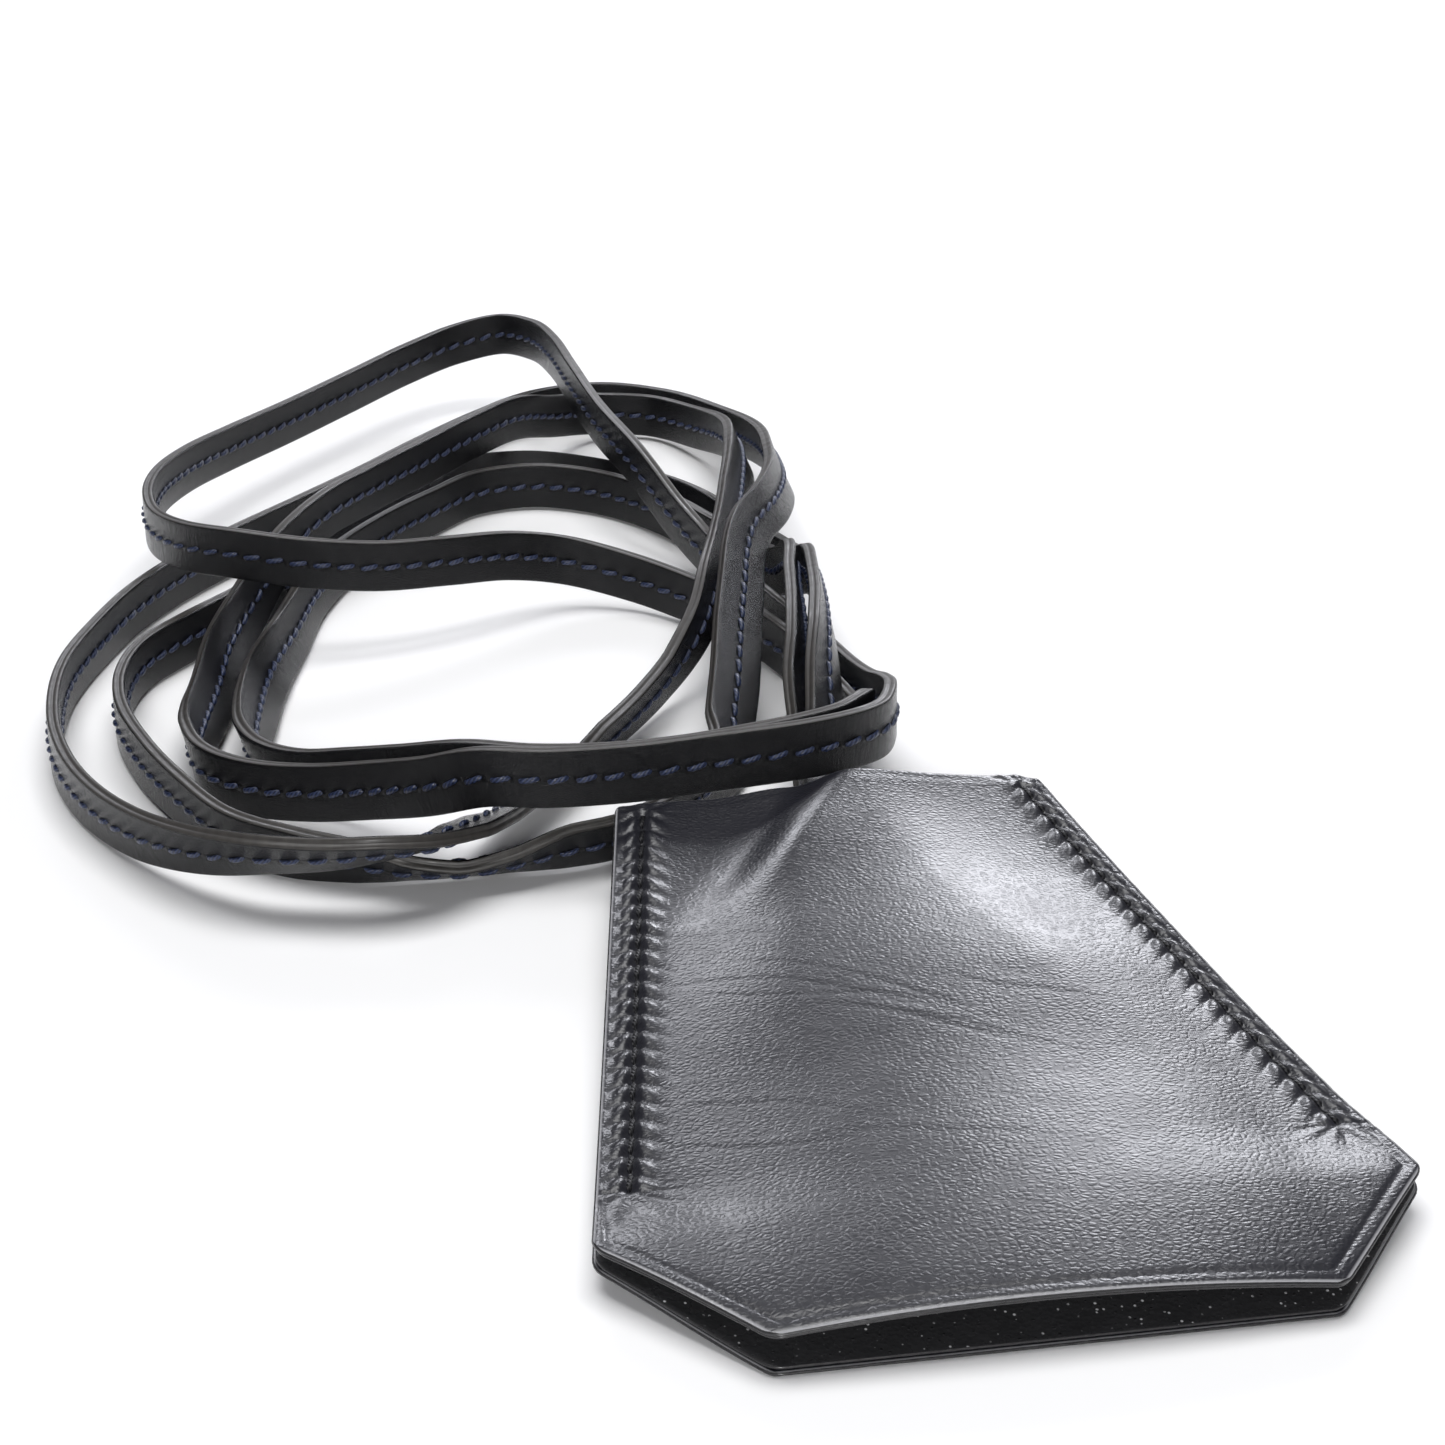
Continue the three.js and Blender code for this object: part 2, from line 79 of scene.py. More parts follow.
# Points along the middle of the strap: x, y, z in metres, and the lean of its width from upright, in
# degrees towards the left of the way it runs. 0 stands on edge; 90 and -90 lie flat. It leaves the
# bell's top, goes up the right side, makes its loops, and comes back into the bell.
ROUTE = [
    (0, 0.012, 0.007, 90), (0.001, 0.032, 0.0084, 90), (0.0015, 0.046, 0.00935, 90),
    (0.0015, 0.0504, 0.0096, 90), (0.0015, 0.0545, 0.0079, 88), (0.0023, 0.0595, 0.0066, 78),
    (0.0038, 0.067, 0.0063, 60), (0.005, 0.075, 0.0073, 45), (0.0062, 0.084, 0.0105, 32),
    (0.0079, 0.093, 0.0126, 22), (0.0098, 0.104, 0.0129, 15), (0.0114, 0.116, 0.0124, 10),
    (0.0129, 0.128, 0.0104, 5), (0.0134, 0.14, 0.0064, 0), (0.0124, 0.153, 0.0044, 0),
    (0.009, 0.165, 0.004, 0), (0.005, 0.178, 0.004, -10), (-0.001, 0.189, 0.004, -20),
    (-0.009, 0.198, 0.004, -30), (-0.018, 0.2045, 0.0038, -35), (-0.027, 0.204, 0.0038, -35),
    (-0.036, 0.195, 0.0039, -30), (-0.0435, 0.183, 0.0039, -20), (-0.051, 0.169, 0.0039, -10),
    (-0.0585, 0.156, 0.0039, -5), (-0.066, 0.1445, 0.0039, 0), (-0.073, 0.135, 0.0039, 0),
    (-0.0785, 0.126, 0.0039, 0), (-0.081, 0.116, 0.0039, 0), (-0.081, 0.104, 0.0039, 0),
    (-0.078, 0.09, 0.0039, 0), (-0.073, 0.076, 0.0039, -5), (-0.0675, 0.065, 0.0038, -10),
    (-0.061, 0.059, 0.0038, -15), (-0.054, 0.0555, 0.0036, -30), (-0.048, 0.054, 0.00285, -54),
    (-0.042, 0.0535, 0.00245, -64), (-0.036, 0.0538, 0.00295, -54), (-0.03, 0.0548, 0.0036, -32),
    (-0.024, 0.0565, 0.0036, -28), (-0.017, 0.0615, 0.0036, -15), (-0.011, 0.069, 0.0039, 5),
    (-0.007, 0.078, 0.004, 30), (-0.0055, 0.086, 0.0048, 50), (-0.0033, 0.095, 0.0072, 55),
    (-0.001, 0.106, 0.01, 56), (0.0016, 0.118, 0.0124, 52), (0.0033, 0.126, 0.014, 47),
    (0.0057, 0.1335, 0.0153, 43), (0.01, 0.1425, 0.0156, 38), (0.0138, 0.156, 0.0146, 30),
    (0.016, 0.172, 0.0128, 20), (0.018, 0.196, 0.0088, 8), (0.0165, 0.219, 0.005, 0),
    (0.009, 0.237, 0.0039, 0), (-0.0015, 0.244, 0.0039, 0), (-0.013, 0.2415, 0.0039, 0),
    (-0.024, 0.2305, 0.0039, 0), (-0.035, 0.216, 0.0039, 0), (-0.046, 0.2, 0.0039, 0),
    (-0.056, 0.1865, 0.0039, 0), (-0.0655, 0.174, 0.0039, 0), (-0.073, 0.163, 0.0039, 0),
    (-0.08, 0.1495, 0.0039, 0), (-0.085, 0.135, 0.0039, 0), (-0.0885, 0.121, 0.0039, 0),
    (-0.0895, 0.107, 0.0039, 0), (-0.0885, 0.093, 0.0039, 0), (-0.085, 0.0795, 0.0039, -5),
    (-0.079, 0.0665, 0.0046, -12), (-0.072, 0.0565, 0.0062, -25), (-0.065, 0.0505, 0.0076, -38),
    (-0.058, 0.048, 0.008, -46), (-0.0515, 0.047, 0.0085, -54), (-0.046, 0.0485, 0.0081, -64),
    (-0.0415, 0.053, 0.0074, -78), (-0.038, 0.0595, 0.0058, -76), (-0.0345, 0.067, 0.0038, -62),
    (-0.029, 0.0755, 0.0036, -45), (-0.023, 0.084, 0.0039, -25), (-0.017, 0.0935, 0.0042, -20),
    (-0.011, 0.103, 0.0055, -12), (-0.0055, 0.112, 0.0085, 5), (-0.0015, 0.122, 0.0115, 22),
    (0.003, 0.136, 0.0126, 38), (0.0075, 0.156, 0.0128, 38), (0.0115, 0.178, 0.0123, 28),
    (0.0135, 0.2, 0.009, 12), (0.0115, 0.219, 0.0055, 0), (0.005, 0.233, 0.0042, 0),
    (-0.004, 0.233, 0.005, 0), (-0.012, 0.224, 0.0075, 0), (-0.02, 0.21, 0.0114, 0),
    (-0.028, 0.197, 0.0124, 0), (-0.0365, 0.185, 0.0123, 0), (-0.045, 0.1725, 0.0124, 0),
    (-0.053, 0.16, 0.0123, 0), (-0.0598, 0.1485, 0.0099, -8), (-0.064, 0.14, 0.0064, -25),
    (-0.0676, 0.1275, 0.0045, -40), (-0.0695, 0.114, 0.0032, -46), (-0.071, 0.104, 0.0035, -36),
    (-0.072, 0.094, 0.00395, -15), (-0.0705, 0.085, 0.004, 0), (-0.0655, 0.0785, 0.0042, 3),
    (-0.0585, 0.073, 0.0052, 3), (-0.0515, 0.067, 0.0074, 0), (-0.045, 0.0595, 0.0105, 0),
    (-0.039, 0.0545, 0.0132, 0), (-0.032, 0.0525, 0.0133, 0), (-0.022, 0.053, 0.013, 0),
    (-0.012, 0.0537, 0.0133, 0), (-0.002, 0.0549, 0.0135, 0), (0.0045, 0.0575, 0.0133, 0),
    (0.0086, 0.0615, 0.0128, 0), (0.0112, 0.0685, 0.0122, 0), (0.0125, 0.078, 0.0096, 0),
    (0.013, 0.088, 0.0064, 0), (0.0128, 0.099, 0.0042, 0), (0.0113, 0.111, 0.0037, 0),
    (0.0088, 0.123, 0.0037, 0), (0.0059, 0.137, 0.0039, 0), (0.0035, 0.152, 0.0044, 0),
    (0, 0.165, 0.007, 0), (-0.004, 0.179, 0.0115, 0), (-0.0075, 0.196, 0.0136, 0),
    (-0.0095, 0.216, 0.0151, 0), (-0.0105, 0.235, 0.0151, 0), (-0.0125, 0.251, 0.014, 0),
    (-0.0175, 0.26, 0.013, 0), (-0.025, 0.2605, 0.0115, 0), (-0.034, 0.2535, 0.0103, 0),
    (-0.045, 0.2395, 0.0095, 0), (-0.056, 0.2235, 0.0093, 0), (-0.0655, 0.2075, 0.01, 0),
    (-0.0722, 0.192, 0.0114, 0), (-0.0763, 0.177, 0.0126, 0), (-0.0775, 0.165, 0.013, 0),
    (-0.0763, 0.155, 0.013, 0), (-0.072, 0.145, 0.0139, 0), (-0.065, 0.1388, 0.0143, 0),
    (-0.056, 0.1358, 0.0134, 0), (-0.046, 0.1365, 0.012, 0), (-0.036, 0.14, 0.011, 0),
    (-0.027, 0.145, 0.0095, 0), (-0.0185, 0.148, 0.0072, 0), (-0.01, 0.145, 0.0052, 0),
    (-0.003, 0.1375, 0.0042, 0), (0.0025, 0.1275, 0.0039, 0), (0.0063, 0.116, 0.0038, 0),
    (0.0086, 0.104, 0.0038, 0), (0.0099, 0.093, 0.0037, 0), (0.0104, 0.084, 0.0046, 0),
    (0.0098, 0.0745, 0.0088, 0), (0.0071, 0.0658, 0.0123, 0), (0.0035, 0.0616, 0.0126, 0),
    (-0.0015, 0.0594, 0.0125, 0), (-0.008, 0.058, 0.0122, 0), (-0.016, 0.057, 0.0118, 0),
    (-0.025, 0.057, 0.0116, 0), (-0.033, 0.0585, 0.0115, 0), (-0.04, 0.062, 0.0112, 0),
    (-0.047, 0.068, 0.0088, 0), (-0.0535, 0.0745, 0.0063, 0), (-0.059, 0.0795, 0.0046, 0),
    (-0.0632, 0.085, 0.004, 5), (-0.065, 0.0935, 0.0037, 20), (-0.0643, 0.105, 0.0034, 38),
    (-0.0623, 0.12, 0.00325, 44), (-0.0586, 0.135, 0.0036, 26), (-0.055, 0.15, 0.0039, 14),
    (-0.05, 0.1635, 0.0039, 8), (-0.0428, 0.176, 0.0039, 5), (-0.0348, 0.1868, 0.0039, 0),
    (-0.0275, 0.195, 0.0039, 0), (-0.0185, 0.197, 0.0039, 0), (-0.01, 0.1925, 0.0039, 0),
    (-0.0035, 0.1845, 0.0039, 0), (0.0015, 0.1745, 0.0039, 0), (0.0052, 0.1635, 0.004, 0),
    (0.0088, 0.152, 0.0044, 0), (0.0103, 0.139, 0.0066, 0), (0.0101, 0.1268, 0.0117, -5),
    (0.0083, 0.1155, 0.0124, -10), (0.0066, 0.1035, 0.0126, -15), (0.0049, 0.0925, 0.0114, -22),
    (0.0033, 0.0835, 0.0088, -32), (0.0029, 0.0745, 0.0048, -45), (0.0022, 0.0665, 0.0038, -60),
    (0.0017, 0.059, 0.0035, -78), (0.0015, 0.0545, 0.005, -88), (0.0015, 0.0504, 0.0075, -90),
    (0.0015, 0.046, 0.0073, -90), (0.001, 0.032, 0.0063, -90), (0, 0.012, 0.0048, -90),
]


# ---------------------------------------------------------------- small tools
def smoothstep(value, low, high):
    """0 up to low, 1 from high on, and a smooth rise between."""
    t = np.clip((np.asarray(value, float) - low) / (high - low), 0.0, 1.0)
    return t * t * (3 - 2 * t)


def unit(v):
    return v / np.linalg.norm(v, axis=-1, keepdims=True)


def hump(value, width):
    """1 in the middle, falling off smoothly to 0 within a few widths."""
    return np.exp(-(np.asarray(value, float) / width) ** 2)


def roughly(points, scale, seed):
    """Smooth noise between about -1 and 1 at points, whose features are about scale long."""
    shift = Vector((17.3 * seed, 5.1 * seed, -9.7 * seed))
    flat = np.asarray(points, float).reshape(-1, 3) / scale
    return np.array([noise.noise(Vector(p) + shift) for p in flat]).reshape(np.shape(points)[:-1])


def mesh_of(name, points, faces, uv=None, attribute=None):
    """A smooth-shaded mesh, with a UV point and any named values for each of its points."""
    mesh = bpy.data.meshes.new(name)
    mesh.from_pydata(np.asarray(points).reshape(-1, 3).tolist(), [], faces)
    mesh.polygons.foreach_set("use_smooth", np.ones(len(mesh.polygons), bool))
    if uv is not None:
        layer = mesh.uv_layers.new(name="UVMap")
        corner = np.empty(len(mesh.loops), np.int32)
        mesh.loops.foreach_get("vertex_index", corner)
        layer.data.foreach_set("uv", np.asarray(uv).reshape(-1, 2)[corner].astype(np.float32).ravel())
    if attribute is not None:
        for key, values in attribute.items():
            made = mesh.attributes.new(key, "FLOAT", "POINT")
            made.data.foreach_set("value", np.asarray(values).astype(np.float32).ravel())
    mesh.update()
    return mesh


def add_object(name, mesh, *materials):
    piece = bpy.data.objects.new(name, mesh)
    bpy.context.scene.collection.objects.link(piece)
    for material in materials:
        mesh.materials.append(material)
    return piece


def tube_faces(rings, around, first=0):
    """The quads of a tube of rings of points, and a cap at each end."""
    faces = []
    for i in range(rings - 1):
        for j in range(around):
            a, b = first + i * around + j, first + i * around + (j + 1) % around
            faces.append((a, b, b + around, a + around))
    faces.append(tuple(first + j for j in reversed(range(around))))
    faces.append(tuple(first + (rings - 1) * around + j for j in range(around)))
    return faces


# ---------------------------------------------------------------- the strap
def between(a, b, from_t, to_t, t):
    return ((to_t - t) * a + (t - from_t) * b) / (to_t - from_t)


def centripetal(points, per_span):
    """A centripetal Catmull-Rom curve through the points; the lean runs evenly between them."""
    ends = np.vstack([2 * points[0] - points[1], points, 2 * points[-1] - points[-2]])
    out = []
    for i in range(len(points) - 1):
        p = ends[i:i + 4]
        gaps = np.linalg.norm(np.diff(p[:, :3], axis=0), axis=1) ** 0.5
        k = np.concatenate([[0], np.cumsum(gaps)])
        for step in range(per_span):
            t = k[1] + (k[2] - k[1]) * step / per_span
            a1, a2, a3 = (between(p[j], p[j + 1], k[j], k[j + 1], t) for j in range(3))
            b1, b2 = between(a1, a2, k[0], k[2], t), between(a2, a3, k[1], k[3], t)
            row = between(b1, b2, k[1], k[2], t)
            row[3] = p[1][3] + (p[2][3] - p[1][3]) * step / per_span
            out.append(row)
    out.append(points[-1])
    return np.array(out)


class Strap:
    """The strap's middle line in millimetres, evenly spaced, with its two cross directions."""

    def __init__(self, spacing):
        fine = centripetal(np.array(ROUTE, float) * [1000, 1000, 1000, 1], 16)
        run = np.concatenate([[0], np.cumsum(np.linalg.norm(np.diff(fine[:, :3], axis=0), axis=1))])
        self.s = np.linspace(0, run[-1], int(round(run[-1] / spacing)) + 1)
        rows = np.stack([np.interp(self.s, run, fine[:, k]) for k in range(4)], axis=1)
        self.at = rows[:, :3]
        self.along = unit(np.gradient(self.at, axis=0))
        left = unit(np.stack([-self.along[:, 1], self.along[:, 0], 0 * self.s], axis=1))
        up = unit(np.cross(self.along, left))
        lean = np.radians(rows[:, 3:4])
        self.across = up * np.cos(lean) + left * np.sin(lean)
        self.out = unit(np.cross(self.along, self.across))

    def pick(self, table, s):
        return np.stack([np.interp(s, self.s, table[:, k]) for k in range(3)], axis=-1)


def strap_section():
    """Two faces with the stitching's channel down the middle, and two edges where the layers meet."""
    w, t, r = STRAP_WIDTH / 2, STRAP_THICK / 2, 0.3
    channel_depth, channel_half, notch = 0.1, 0.5, 0.14
    stops = (0.0, 0.04, 0.1, 0.18, 0.3, 0.48, 0.68, 0.86)
    face = [(x * w, t - channel_depth * math.exp(-((x * w) / channel_half) ** 2))
            for x in [-x for x in reversed(stops[1:])] + list(stops)]
    turn = np.radians([20, 45, 70, 90])
    corner = [(w - r + r * math.sin(a), t - r + r * math.cos(a)) for a in turn]
    edge = corner + [(w, notch), (w - notch, 0.0), (w, -notch)] + [(x, -z) for x, z in reversed(corner)]
    under = [(-x, -z) for x, z in face]
    far = [(-x, -z) for x, z in edge]
    return np.array(face + edge + under + far), len(face), len(edge)


def make_strap(leather, edge_leather):
    """The strap as one closed band, with its edges in a leather of their own."""
    strap = Strap(STRAP_STEP)
    section, on_face, on_edge = strap_section()
    rings, around = len(strap.s), len(section)
    points = (strap.at[:, None] + strap.across[:, None] * section[None, :, 0:1]
              + strap.out[:, None] * section[None, :, 1:2])
    uv = np.empty((rings, around, 2))
    uv[..., 0] = strap.s[:, None]
    uv[..., 1] = section[None, :, 0]
    mesh = mesh_of("neck_strap", points * MM, tube_faces(rings, around), uv)
    piece = add_object("neck_strap", mesh, leather, edge_leather)
    column = np.arange(rings * around) % around
    half = on_face + on_edge
    on_the_edge = (column % half >= on_face + 1) & (column % half < half - 3)
    index = np.zeros(len(mesh.polygons), np.int32)
    index[:(rings - 1) * around] = on_the_edge[:(rings - 1) * around]
    mesh.polygons.foreach_set("material_index", index)
    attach(piece, "bell_and_strap")
    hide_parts("strap_outer_layer", "strap_inner_layer")
    return piece, strap


THREAD_RADIUS = 0.33
THREAD_AROUND = 8
# How far along a stitch each ring of its points is, and its thickness there.
STITCH_RINGS = ((0.0, 0.45), (0.07, 0.8), (0.2, 1.0), (0.5, 1.04), (0.8, 1.0), (0.93, 0.8), (1.0, 0.45))


def stitch(start, end, out, side, rise, flat=0.8):
    """One stitch from start to end: a thread that comes up out of one hole and goes into the next."""
    rings = []
    lift = [-1.0, -0.35, 0.25, rise, 0.25, -0.35, -1.0]
    for (t, size), up in zip(STITCH_RINGS, lift):
        middle = start + (end - start) * t + out * (THREAD_RADIUS * up)
        for a in np.linspace(0, 2 * math.pi, THREAD_AROUND, endpoint=False):
            rings.append(middle + (side * math.cos(a) + out * (flat * math.sin(a))) * (THREAD_RADIUS * size))
    return rings


def stitch_uv(start, length):
    return [(start + t * length, j / THREAD_AROUND) for t, _ in STITCH_RINGS for j in range(THREAD_AROUND)]


def make_strap_stitches(strap, thread):
    """Slanting stitches down the middle of both faces."""
    surface = STRAP_THICK / 2 - 0.02
    starts = np.arange(STITCHED_FROM, strap.s[-1] - STITCHED_FROM, STRAP_PITCH)
    points, faces, uv = [], [], []
    for sign in (1, -1):
        for n, s in enumerate(starts):
            lean = 0.26 + 0.05 * math.sin(1.7 * n)
            ends = []
            for ds, dv in ((0.0, -lean), (STRAP_STITCH, lean)):
                at, across, out = (strap.pick(t, s + ds) for t in (strap.at, strap.across, strap.out))
                ends.append(at + across * (sign * dv) + out * (sign * surface))
            out = unit(strap.pick(strap.out, s + STRAP_STITCH / 2)) * sign
            side = unit(np.cross(out, ends[1] - ends[0]))
            faces += tube_faces(len(STITCH_RINGS), THREAD_AROUND, len(points))
            points += stitch(ends[0], ends[1], out, side, 0.5)
            uv += stitch_uv(s, STRAP_STITCH)
    piece = add_object("strap_stitches", mesh_of("strap_stitches", np.array(points) * MM, faces, uv), thread)
    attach(piece, "bell_and_strap")
    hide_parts("strap_thread_outer", "strap_thread_inner")
    return piece


# ---------------------------------------------------------------- the bell, in millimetres
TOP_Y, WIDE_Y, MOUTH_Y = 84.0, 0.0, -16.0
TOP_HALF, WIDE_HALF, MOUTH_HALF = 24.6, 38.0, 25.0
LEATHER, LINING, GLUE = 0.5, 0.33, 0.12
PANEL = LINING + GLUE + LEATHER
SEAM_GAP = 0.2
LINING_INSET = 0.25
TILT = math.radians(4.5)           # the bell rises towards its top, which rests on the strap
BACK_FACE = SEAM_GAP / 2 + PANEL
BELL_SHIFT_Y = -34.0
STITCHES, SEAM_PITCH, SEAM_INSET, SEAM_TOP_Y = 23, 3.2, 3.0, 81.8
FOLD_SLOPE, FOLD_START = 1.64, 85.6              # the fold's line is y = start + slope * x
FOLD_HEIGHT, FOLD_TURN, FOLD_REACH = 2.1, 3.6, 8.5
CREASE_SHARE = 0.45                # of the depths in CREASES
SIDE_SLOPE = math.atan2(WIDE_HALF - TOP_HALF, TOP_Y - WIDE_Y)
FOOT_SLOPE = math.atan2(WIDE_HALF - MOUTH_HALF, WIDE_Y - MOUTH_Y)


def set_down(p):
    """Bell points in millimetres to the shared frame in metres."""
    y, z = p[..., 1] - MOUTH_Y, p[..., 2] + BACK_FACE
    c, s = math.cos(TILT), math.sin(TILT)
    return np.stack([p[..., 0], MOUTH_Y + BELL_SHIFT_Y + y * c - z * s, y * s + z * c], axis=-1) * MM


def side_line(y):
    """Half the width between the long sides at y."""
    return WIDE_HALF + (TOP_HALF - WIDE_HALF) * (y - WIDE_Y) / (TOP_Y - WIDE_Y)


def foot_line(y):
    """Half the width between the short sides next to the mouth at y."""
    return MOUTH_HALF + (WIDE_HALF - MOUTH_HALF) * (y - MOUTH_Y) / (WIDE_Y - MOUTH_Y)


def half_width(y, rounding=1.3):
    """Half the bell's width at y, with its widest corners a little rounded."""
    upper, lower = side_line(y), foot_line(y)
    gap = np.maximum(rounding - np.abs(upper - lower), 0.0)
    return np.minimum(upper, lower) - gap * gap / (4 * rounding)


def edge_distance(x, y):
    """How far a point of the panel is from its cut edge."""
    past_side = (side_line(y) - np.abs(x)) * math.cos(SIDE_SLOPE)
    past_foot = (foot_line(y) - np.abs(x)) * math.cos(FOOT_SLOPE)
    sides = np.minimum(past_side, past_foot)
    return np.minimum(np.minimum(sides, y - MOUTH_Y), TOP_Y - y)


def swelling(x, y, top_foot=14.5, top_plateau=4.6):
    """1 over the swelling round the strap and key loop, 0 at the sewn sides."""
    down = (TOP_Y - y) / (TOP_Y - MOUTH_Y)
    plateau = top_plateau + (13 - top_plateau) * smoothstep(down, 0, 0.6)
    foot = top_foot + (half_width(y) - SEAM_INSET - top_foot) * smoothstep(down, 0, 0.35)
    return 1 - smoothstep((np.abs(x) - plateau) / (foot - plateau), 0, 1)


def front_swelling(x, y):
    """The front falls away evenly to the right at its top, and is one low arch at the mouth."""
    side = np.where(x > 1.6, swelling(x - 1.6, y, 22.0, 0.5), swelling(x, y))
    reach = half_width(y) - SEAM_INSET * smoothstep(y, -6, 8)
    arch = np.clip(1 - (x / reach) ** 2, 0, 1)
    low = smoothstep(-y, -62, -18)
    return side + (arch - side) * low


def hollow(x, y):
    """The leather sinks between the strap and the right seam, and rises again to the top edge."""
    rise = 1 - np.clip((y - 66) / (TOP_Y - 66), 0, 1) ** 2
    return -0.6 * hump(x - 13.5, 8.0) * smoothstep(y, 40, 64) * rise


def droop(x, y):
    """Outside its seams the bell's edge hangs a little, most of all on the right."""
    past = smoothstep(np.abs(x) - half_width(y), -SEAM_INSET - 0.3, 0.3) * smoothstep(y, 4, 16)
    return -np.where(x > 0, 0.8, 0.25) * past


def lift(y):
    """The strap under the bell's top holds it up a little more than the mouth."""
    return 0.75 * np.clip((y - 20) / (TOP_Y - 20), 0, 1) ** 4


def curl(x, y):
    """The widest corners turn up a little."""
    return 0.8 * smoothstep(np.abs(x), 26, WIDE_HALF) * (1 - smoothstep(y, 8, 40))


def fold(x, y):
    """The left shoulder folds down where the sewn corner is held and the strap lifts the middle."""
    q = (y - FOLD_SLOPE * x - FOLD_START) / math.hypot(1.0, FOLD_SLOPE)
    along = smoothstep(y, 54, 74)
    return FOLD_HEIGHT * (0.5 - smoothstep(q, -FOLD_TURN, FOLD_TURN)) * hump(q, FOLD_REACH) * along


def front_inner(x, y):
    """The height of the front lining's inner face, before the fold."""
    edge = SEAM_GAP / 2 + 2.15 * smoothstep(-y, -10, 16)
    crown = 3.85 - 1.65 * smoothstep(y, MOUTH_Y, 30) - 0.55 * smoothstep(y, 40, 66)
    tip = -0.014 * x * smoothstep(-y, -6, 16)
    laid = curl(x, y) + droop(x, y) + hollow(x, y) + lift(y)
    return laid + tip + edge + (crown - edge) * front_swelling(x, y)


def folded_front(x, y):
    return front_inner(x, y) + fold(x, y)


def back_inner(x, y):
    """The height of the back lining's inner face."""
    swell = swelling(x, y)
    laid = curl(x, y) + droop(x, y) + lift(y) * (1 - swell)
    return laid - SEAM_GAP / 2 - 2.2 * smoothstep(y, 2, 50) * swell


def seam_point(side, n):
    """Where the hole number n of a seam is, counted from the top."""
    y = SEAM_TOP_Y - n * SEAM_PITCH * math.cos(SIDE_SLOPE)
    return side * (side_line(y) - SEAM_INSET / math.cos(SIDE_SLOPE)), y


def seam_relief(x, y, side, groove, pucker, slant):
    """Leather drawn into a seam: a groove, with a lobe on each side of every stitch."""
    x0, y0 = seam_point(side, 0)
    ux, uy = side * math.sin(SIDE_SLOPE), -math.cos(SIDE_SLOPE)
    s = ((x - x0) * ux + (y - y0) * uy) / SEAM_PITCH
    d = (x - x0) * uy - (y - y0) * ux
    here = smoothstep(s, -0.25, 0.15) * (1 - smoothstep(s, STITCHES - 0.15, STITCHES + 0.25))
    reach = np.abs(d) / 1.05
    lobe = np.abs(np.sin(math.pi * (s - slant * np.abs(d) / SEAM_PITCH)))
    wave = (lobe ** 0.7 - 0.35) * reach * np.exp(1 - reach) * hump(d, 2.3)
    holes = hump(d, 0.5) * np.cos(math.pi * s) ** 8
    return here * (pucker * wave - groove * hump(d, 0.6) - 0.12 * holes)


def seam_end_wrinkles(x, y, side, n, height):
    """Short wrinkles that fan out from the last hole of a seam."""
    x0, y0 = seam_point(side, n)
    r = np.hypot(x - x0, y - y0)
    angle = np.arctan2(y - y0, side * (x - x0))
    reach = smoothstep(r, 0.5, 1.4) * (1 - smoothstep(r, 2.0, 6.5))
    away = smoothstep(np.where(n > 0, y0 - y, y - y0), -1.6, 0.4)
    return height * np.sin(9 * angle + 1.5 * np.sin(2.3 * angle)) * reach * away


# Long soft creases in the front leather: from, to, sideways bow, depth and half width.
CREASES = [
    ((-27, 45), (2, 33), 1.6, 0.050, 0.45), ((-24, 42), (-2, 36.5), -0.9, 0.045, 0.4),
    ((-21, 48), (6, 30), 2.2, 0.040, 0.5), ((-14, 37), (9, 24), 1.5, 0.055, 0.55),
    ((-8, 35), (14, 22), 1.0, 0.040, 0.45), ((-29, 22), (-9, 15), 1.3, 0.040, 0.55),
    ((-31, 16), (-10, 11), -0.8, 0.045, 0.5), ((-20, 13), (8, 8), 1.0, 0.035, 0.6),
    ((-24, 54), (-12, 50), 0.7, 0.035, 0.4), ((2, 40), (20, 33), -1.2, 0.030, 0.6),
]


def creases(x, y):
    """Each crease is a shallow valley with a lower ridge beside it."""
    total = np.zeros_like(x)
    for (ax, ay), (bx, by), bow, depth, width in CREASES:
        length = math.hypot(bx - ax, by - ay)
        ux, uy = (bx - ax) / length, (by - ay) / length
        t = ((x - ax) * ux + (y - ay) * uy) / length
        d = (x - ax) * -uy + (y - ay) * ux - bow * 4 * t * (1 - t) - 0.25 * np.sin(9 * t + ax)
        ends = smoothstep(t, 0.0, 0.25) * (1 - smoothstep(t, 0.75, 1.0))
        total += ends * depth * (0.8 * hump(d - 1.6 * width, 1.3 * width) - hump(d, width))
    return total


def back_face(x, y):
    """What the outer face of either leather adds to the smooth shape of its sheet."""
    d = edge_distance(x, y)
    z = -0.16 * np.clip(1 - d / 0.35, 0, 1) ** 2                       # burnished edge
    crease = 1.4 - 0.4 * smoothstep(y, 0, 6)
    z -= 0.10 * hump(d - crease, 0.20) * (1 - smoothstep(y, 80, 82))   # creased line along the edge
    z += 0.04 * smoothstep(d, crease + 0.2, crease + 1.0)
    for side, groove, pucker, slant in ((-1, 0.46, 0.75, 0.8), (1, 0.40, 0.55, 1.0)):
        z += seam_relief(x, y, side, groove, pucker, slant)
        z += seam_end_wrinkles(x, y, side, STITCHES, 0.07) + seam_end_wrinkles(x, y, side, 0, 0.05)
    return z


def front_face(x, y):
    """The front also has its creases, and is a little uneven."""
    flat = np.stack([x, y, 0 * x], axis=-1)
    inside = smoothstep(edge_distance(x, y), 2.5, 6)
    z = back_face(x, y) + CREASE_SHARE * creases(x, y)
    z += 0.025 * roughly(flat * [0.6, 1.0, 1.0], 12.0, 1)
    z += 0.007 * roughly(flat * [0.5, 1.0, 1.0], 2.2, 2) * inside
    return z


